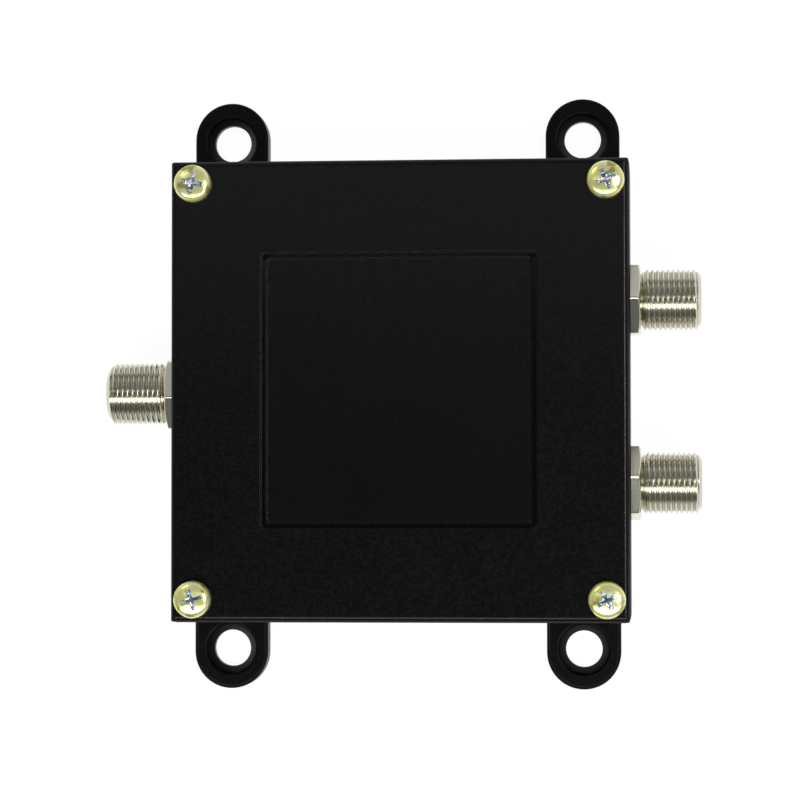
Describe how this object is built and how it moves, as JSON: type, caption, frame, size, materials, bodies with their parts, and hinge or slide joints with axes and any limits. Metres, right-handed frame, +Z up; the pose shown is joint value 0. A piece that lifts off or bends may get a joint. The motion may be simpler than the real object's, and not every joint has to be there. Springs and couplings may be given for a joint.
{
  "type": "coaxial tap",
  "caption": "Flat die-cast coaxial tap with a screwed-on lid, mounting ears and threaded F sockets: an input on one side, an output and a tap on the other.",
  "frame": {"origin": "middle of the box's base plane, halfway between the ends of the sockets and of the ears", "axes": "+Z up through the lid, +X towards the output and tap sockets, +Y from the tap socket towards the output socket"},
  "size_m": [0.093, 0.0934, 0.0202],
  "materials": {
    "cast_coat": "matte",
    "lid_coat": "matte",
    "label_foil": "matte",
    "yellow_zinc": "gloss",
    "nickel": "gloss",
    "spring_steel": "satin",
    "white_plastic": "satin",
    "contact_bronze": "gloss",
    "board_laminate": "satin",
    "copper": "satin",
    "chip_glaze": "gloss",
    "tin": "gloss",
    "screw_steel": "gloss"
  },
  "bodies": {
    "box": {"housing": "cast_coat", "input_shell": "nickel", "output_shell": "nickel", "tap_shell": "nickel", "input_nut": "nickel", "output_nut": "nickel", "tap_nut": "nickel", "input_washer": "spring_steel", "output_washer": "spring_steel", "tap_washer": "spring_steel", "input_insulator": "white_plastic", "output_insulator": "white_plastic", "tap_insulator": "white_plastic", "input_rear_insulator": "white_plastic", "output_rear_insulator": "white_plastic", "tap_rear_insulator": "white_plastic", "input_contact": "contact_bronze", "output_contact": "contact_bronze", "tap_contact": "contact_bronze", "circuit_board": "board_laminate", "ground_plane": "copper", "divider_tracks": "copper", "resistor_chips": "chip_glaze", "resistor_caps": "tin", "solder_joints": "tin", "board_screws": "screw_steel"},
    "lid": {"lid": "lid_coat", "label": "label_foil"},
    "screw_front_left": {"lid_screw_front_left": "yellow_zinc"},
    "screw_front_right": {"lid_screw_front_right": "yellow_zinc"},
    "screw_back_left": {"lid_screw_back_left": "yellow_zinc"},
    "screw_back_right": {"lid_screw_back_right": "yellow_zinc"}
  },
  "joints": [
    {"name": "lid_lift", "type": "slide", "parent": "box", "child": "lid", "axis": [0, 0, 1], "range_m": [0, 0.04]},
    {"name": "screw_front_left_out", "type": "slide", "parent": "lid", "child": "screw_front_left", "axis": [0, 0, 1], "range_m": [0, 0.009]},
    {"name": "screw_front_right_out", "type": "slide", "parent": "lid", "child": "screw_front_right", "axis": [0, 0, 1], "range_m": [0, 0.009]},
    {"name": "screw_back_left_out", "type": "slide", "parent": "lid", "child": "screw_back_left", "axis": [0, 0, 1], "range_m": [0, 0.009]},
    {"name": "screw_back_right_out", "type": "slide", "parent": "lid", "child": "screw_back_right", "axis": [0, 0, 1], "range_m": [0, 0.009]}
  ]
}
